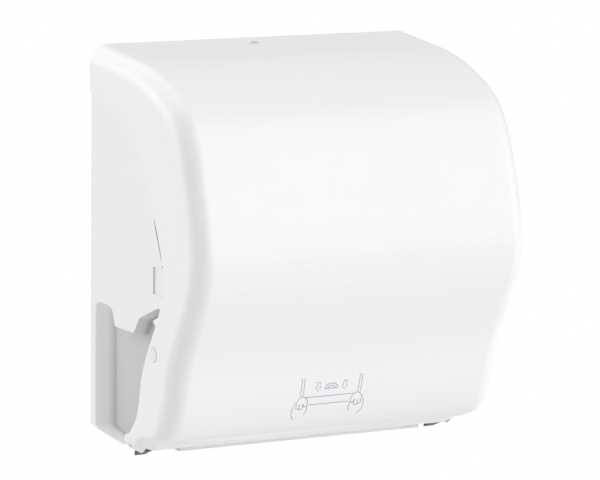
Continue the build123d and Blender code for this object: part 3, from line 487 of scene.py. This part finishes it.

# Its side walls stand up to the swept edge of the cover's flange and leave only a fine joint, whose
# shadow is painted on as a dark material, and below it they step back to a plain upright edge.  In
# millimetres, joint_line says where the side's edge stands at a height.
wall_levels = (-10.5, -9, -6, 0, 6, 12, 18, 24, 30, 36, 41, 44)
joint_line = [
    (46, -127.4), (38, -127.5), (28, -130), (15, -136),
    (2, -141.2), (-9, -144.8), (-10.5, -127.6), (-40, -127.6),
]
side_wall = 167.2
side_edge = -127.6
edge_play = 0.6
edge_bottom = -34
edge_top = 45.9
recess_floor = 156
recess_rim = 162
recess_depth = 13
recess_ease = 15.0
recess_top = -45
recess_rear = -20
recess_wall_reaches = (47, 30)
painted_shadow_widths = (166, 168.9)
painted_shadow_front = -125
painted_shadow_heights = (-9.5, 60)


def fitted_housing(name):
    """The housing's skin: its solid in level strips, drawn up to the flange, with eased recesses."""
    shape = sliced_copy("rear_housing", wall_levels)
    for corner in shape.verts:
        x, y, z = (c * 1000 for c in corner.co)
        on_edge = abs(x) > side_wall and abs(y - side_edge) < edge_play
        if on_edge and edge_bottom < z < edge_top:
            corner.co.y = eased(joint_line, z) / 1000
        if abs(x) > recess_floor and y < recess_rear and z < recess_top:
            out = (abs(x) - recess_floor) / recess_depth
            corner.co.y = (y + recess_ease * out * ramp(-y, *recess_wall_reaches)) / 1000
    # Side faces just behind the flange's edge take the second material, a painted shadow.
    for face in shape.faces:
        x, y, z = face.calc_center_median() * 1000
        in_painted_shadow = painted_shadow_widths[0] < abs(x) < painted_shadow_widths[1] and y < painted_shadow_front
        face.material_index = int(in_painted_shadow and painted_shadow_heights[0] < z < painted_shadow_heights[1])
    piece = finished_piece(name, shape)
    shade_evenly(piece)
    return piece


housing_skin = fitted_housing("housing_skin")
housing_skin.data.materials.append(housing_finish)
housing_skin.data.materials.append(painted_joint_shadow)
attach(housing_skin, "housing")
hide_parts("rear_housing")

# Painted shade takes most of the colour on the floor of a recess and inside the shell, and all of that share
# near the bottom.
painted_shade_grey = (0.46, 0.465, 0.475)
painted_shade_share = 0.78
painted_shade_heights = (-30, -170)
painted_shade_gain = (0.80, 1.0)


def ranged(tree, source, from_span, to_span, kind="LINEAR"):
    """Maps a value from one span to another in a node tree; returns the socket that gives it."""
    node = tree.nodes.new("ShaderNodeMapRange")
    node.interpolation_type = kind
    for label, span in (("From", from_span), ("To", to_span)):
        node.inputs[label + " Min"].default_value = span[0]
        node.inputs[label + " Max"].default_value = span[1]
    tree.links.new(source, node.inputs["Value"])
    return node.outputs["Result"]


def paint_inside_shade(finish):
    """Paints shade over the colour of the side recesses' floors and of everything inside the shell, darker
    towards the bottom.
    """
    tree = finish.node_tree
    make, link = tree.nodes.new, tree.links.new
    place = make("ShaderNodeTexCoord")
    apart = make("ShaderNodeSeparateXYZ")
    link(place.outputs["Object"], apart.inputs[0])
    out_from_middle = make("ShaderNodeMath")
    out_from_middle.operation = "ABSOLUTE"
    link(apart.outputs["X"], out_from_middle.inputs[0])
    rim_to_floor = (recess_rim / 1000, recess_floor / 1000)
    depth = ranged(tree, out_from_middle.outputs[0], rim_to_floor, (0.0, painted_shade_share), "SMOOTHSTEP")
    heights = (painted_shade_heights[0] / 1000, painted_shade_heights[1] / 1000)
    low = ranged(tree, apart.outputs["Z"], heights, painted_shade_gain)
    painted_amount = make("ShaderNodeMath")
    painted_amount.operation = "MULTIPLY"
    link(depth, painted_amount.inputs[0])
    link(low, painted_amount.inputs[1])
    tone = make("ShaderNodeMix")
    tone.data_type = "RGBA"
    tone.inputs["B"].default_value = (*painted_shade_grey, 1)
    colour = tree.nodes["Principled BSDF"].inputs["Base Color"]
    link(painted_amount.outputs[0], tone.inputs["Factor"])
    link(colour.links[0].from_socket, tone.inputs["A"])
    link(tone.outputs["Result"], colour)


paint_inside_shade(housing_finish)
dress("lock_keeper", inner_grey)

# ---------------------------------------------------------------- hinge brackets
# Black glass-filled nylon brackets stand on the housing's floor, and a steel pin in each carries a
# foot of the cover.  Their skins narrow the lug under the foot and set it back, in millimetres.

lug_top = -187.0
lug_play = 0.5
lug_inner = {"left": 147.0, "right": 142.0}
solid_inner = 143.0
lug_taper = 0.80
lug_front = -76.0
solid_front = -90.0
front_squeeze = 0.1


def fitted_bracket(name, node, inner):
    """A bracket's skin: its solid with the lug under the foot tapered and set back."""
    shape = sliced_copy(node, (lug_top,))
    for corner in shape.verts:
        x, y, z = (c * 1000 for c in corner.co)
        if z < lug_top - lug_play:
            width = inner + (abs(x) - solid_inner) * lug_taper
            corner.co.x = math.copysign(width, x) / 1000
            corner.co.y = max(y, lug_front + (y - solid_front) * front_squeeze) / 1000
    return finished_piece(name, shape)


for side in ("left", "right"):
    bracket_skin = fitted_bracket("bracket_skin_" + side, "hinge_bracket_" + side, lug_inner[side])
    bracket_skin.data.materials.append(black_nylon)
    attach(bracket_skin, "housing")
    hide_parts("hinge_bracket_" + side)
dress("hinge_pins", steel)

# ---------------------------------------------------------------- chassis, guides and chute
# Two grey side plates, screwed to the back wall and tied by a steel rod, hold the mechanism.  The
# rear guide and the chute lead the towel out over a thin lip.

chute_white = plastic(
    "chute_white", colour=(0.820, 0.820, 0.832), shade=(0.790, 0.790, 0.804), rough=0.40, spread=0.10,
    skin=900.0, height=0.05,
)
for name in ("chassis_left", "chassis_right", "rear_guide"):
    dress(name, inner_grey)
for name in ("frame_screws", "front_tie"):
    dress(name, steel)
dress("outlet_chute", chute_white)

# ---------------------------------------------------------------- drum
# The drum is dark grey acetal with four rubber grip rings.  Its axle runs in white bushes, and carries
# the crank of the return spring on the left and the clutch and hand knob on the right.

drum_grey = plastic(
    "drum_grey", colour=(0.115, 0.120, 0.130), shade=(0.140, 0.146, 0.156), rough=0.36, spread=0.14,
    skin=600.0, height=0.06,
)
rubber = plastic(
    "grip_rubber", colour=(0.030, 0.030, 0.032), shade=(0.045, 0.045, 0.047), rough=0.62, spread=0.20,
    cloud=90.0, skin=500.0, height=0.35,
)
natural_nylon = plastic(
    "natural_nylon", colour=(0.78, 0.76, 0.69), shade=(0.72, 0.70, 0.62), rough=0.38, spread=0.12,
    cloud=40.0, height=0.05,
)
knob_blue = plastic(
    "knob_blue", colour=(0.030, 0.115, 0.310), shade=(0.038, 0.135, 0.345), rough=0.30, spread=0.12,
    cloud=60.0,
)
spring_steel = metal("spring_steel", colour=(0.50, 0.50, 0.52), tarnish=(0.38, 0.38, 0.40), rough=0.28)
for name in ("drum_shell", "drum_cap_left", "drum_cap_right"):
    dress(name, drum_grey)
for name in ("drum_axle", "crank_pin", "spring_anchor"):
    dress(name, steel)
for name in ("one_way_clutch", "crank_disc"):
    dress(name, black_nylon)
dress("grip_rings", rubber)
dress("drum_bushes", natural_nylon)
dress("return_spring", spring_steel)
dress("hand_knob", knob_blue)

# ---------------------------------------------------------------- knife
# A serrated blade of ground stainless strip in a grey carrier, which swings out of the drum's slot
# as its pin follows the fixed cam.

ground_steel = metal(
    "ground_steel", colour=(0.76, 0.77, 0.78), tarnish=(0.68, 0.69, 0.70), rough=0.14, stretch=(2200.0, 60.0)
)
dress("knife_blade", ground_steel)
dress("knife_carrier", drum_grey)
dress("follower_pin", steel)
dress("knife_cam", natural_nylon)

# ---------------------------------------------------------------- pinch arm
# A grey arm on two pivots holds the rubber pinch roller against the drum, pressed by a torsion
# spring at each end.

dress("pinch_arm", inner_grey)
dress("pinch_springs", spring_steel)
dress("pinch_roller", rubber)
for name in ("pinch_pivots", "pinch_axle"):
    dress(name, steel)

# ---------------------------------------------------------------- roll holder
# The left arm is fixed, and the right one swings out on its pin to load a roll.  Each carries a blue
# hub that plugs into the roll's core.

for name in ("roll_arm_left", "roll_arm_right", "roll_arm_bracket"):
    dress(name, inner_grey)
dress("roll_arm_pin", steel)
for name in ("hub_left", "hub_right"):
    dress(name, knob_blue)

# ---------------------------------------------------------------- floor, light and camera
# The dispenser hangs at hand height over a plain pale floor, in soft light from the front, the left
# rear and above, before a white studio.

floor_drop = 1.15
floor_size = 14.0
floor_grey = (0.82, 0.82, 0.82)
room_level = 0.36
ground = bmesh.new()
bmesh.ops.create_grid(ground, x_segments=1, y_segments=1, size=floor_size)
bmesh.ops.translate(ground, verts=ground.verts, vec=(0, 0, -floor_drop))
floor_mesh = bpy.data.meshes.new("floor")
ground.to_mesh(floor_mesh)
ground.free()
floor = bpy.data.objects.new("floor", floor_mesh)
bpy.context.scene.collection.objects.link(floor)
floor_finish = bpy.data.materials.new("pale_floor")
floor_finish.use_nodes = True
floor_tree = floor_finish.node_tree
floor_shader = floor_tree.nodes["Principled BSDF"]
floor_shader.inputs["Base Color"].default_value = (*floor_grey, 1)
floor_shader.inputs["Roughness"].default_value = 0.9
seen_white = floor_tree.nodes.new("ShaderNodeEmission")
seen_white.inputs["Strength"].default_value = 1.0
floor_rays = floor_tree.nodes.new("ShaderNodeLightPath")
floor_mix = floor_tree.nodes.new("ShaderNodeMixShader")
floor_tree.links.new(floor_rays.outputs["Is Camera Ray"], floor_mix.inputs[0])
floor_tree.links.new(floor_shader.outputs[0], floor_mix.inputs[1])
floor_tree.links.new(seen_white.outputs[0], floor_mix.inputs[2])
floor_tree.links.new(floor_mix.outputs[0], floor_tree.nodes["Material Output"].inputs["Surface"])
floor_mesh.materials.append(floor_finish)

studio = bpy.data.worlds.new("studio")
studio.use_nodes = True
bpy.context.scene.world = studio
studio_tree = studio.node_tree
room = studio_tree.nodes["Background"]
room.inputs["Color"].default_value = (1, 1, 1, 1)
room.inputs["Strength"].default_value = room_level
seen = studio_tree.nodes.new("ShaderNodeBackground")
seen.inputs["Color"].default_value = (1, 1, 1, 1)
seen.inputs["Strength"].default_value = 1.0
rays = studio_tree.nodes.new("ShaderNodeLightPath")
either = studio_tree.nodes.new("ShaderNodeMath")
either.operation = "MAXIMUM"
studio_mix = studio_tree.nodes.new("ShaderNodeMixShader")
studio_tree.links.new(rays.outputs["Is Camera Ray"], either.inputs[0])
studio_tree.links.new(rays.outputs["Is Transmission Ray"], either.inputs[1])
studio_tree.links.new(either.outputs[0], studio_mix.inputs[0])
studio_tree.links.new(room.outputs[0], studio_mix.inputs[1])
studio_tree.links.new(seen.outputs[0], studio_mix.inputs[2])
studio_tree.links.new(studio_mix.outputs[0], studio_tree.nodes["World Output"].inputs["Surface"])

lamps = [
    # name, direction that the light comes from, level, angle in degrees
    ("front_lamp", (0.58, -0.77, 0.26), 0.77, 80),
    ("left_lamp", (-0.74, 0.67, 0.08), 0.30, 50),
    ("top_lamp", (-0.38, 0.52, 0.76), 0.55, 80),
]
for name, way, level, angle in lamps:
    lamp = bpy.data.lights.new(name, "SUN")
    lamp.energy = level * math.pi
    lamp.angle = math.radians(angle)
    holder = bpy.data.objects.new(name, lamp)
    holder.rotation_euler = Vector(way).to_track_quat("Z", "Y").to_euler()
    bpy.context.scene.collection.objects.link(holder)

view_turn = math.radians(28.81)
view_rise = math.radians(8.84)
view_roll = math.radians(0.63)
view_distance = 3.645
lens_pixels = 3954
image_width = 600
aim = Vector((0, -0.097, 0))
off_centre = (2.3, 1.8)
right = Vector((math.cos(view_turn), -math.sin(view_turn), 0))
up = Vector((
    math.sin(view_turn) * math.sin(view_rise), math.cos(view_turn) * math.sin(view_rise), math.cos(view_rise)
))
back = right.cross(up)
aim -= (right * off_centre[0] + up * off_centre[1]) * view_distance / lens_pixels
turned_right = right * math.cos(view_roll) + up * math.sin(view_roll)
turned_up = up * math.cos(view_roll) - right * math.sin(view_roll)
camera_data = bpy.data.cameras.new("camera")
camera_data.sensor_width = 36
camera_data.lens = lens_pixels / image_width * camera_data.sensor_width
camera_data.clip_end = 100
camera = bpy.data.objects.new("camera", camera_data)
turn = Matrix((turned_right, turned_up, back)).transposed().to_4x4()
camera.matrix_world = Matrix.Translation(aim + back * view_distance) @ turn
bpy.context.scene.collection.objects.link(camera)
bpy.context.scene.camera = camera
bpy.context.scene.view_settings.view_transform = "Standard"
